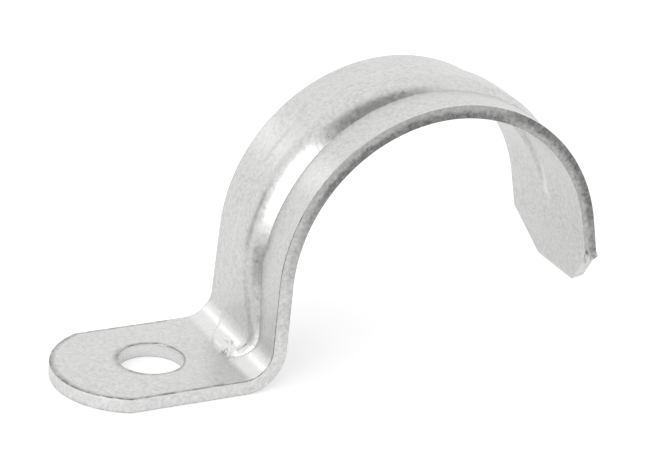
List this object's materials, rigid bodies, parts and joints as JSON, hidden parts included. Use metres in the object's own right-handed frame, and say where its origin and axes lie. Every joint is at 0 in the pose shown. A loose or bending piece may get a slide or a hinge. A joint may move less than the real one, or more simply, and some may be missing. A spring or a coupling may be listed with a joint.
{
  "type": "conduit strap",
  "caption": "One-hole strap that holds a round conduit to a wall: a flat foot with a screw hole, a ribbed arch over the conduit and a free tongue.",
  "frame": {"origin": "axis of the screw hole, on the foot's face that lies against the wall", "axes": "+X from the screw hole to the arch and the free tongue, +Y along the conduit, +Z away from the wall"},
  "size_m": [0.0586, 0.0156, 0.0299],
  "materials": {
    "zinc_plated_steel": "bright zinc plate, fine mottled grain"
  },
  "bodies": {
    "root": {"conduit_strap": "zinc_plated_steel"}
  },
  "joints": []
}
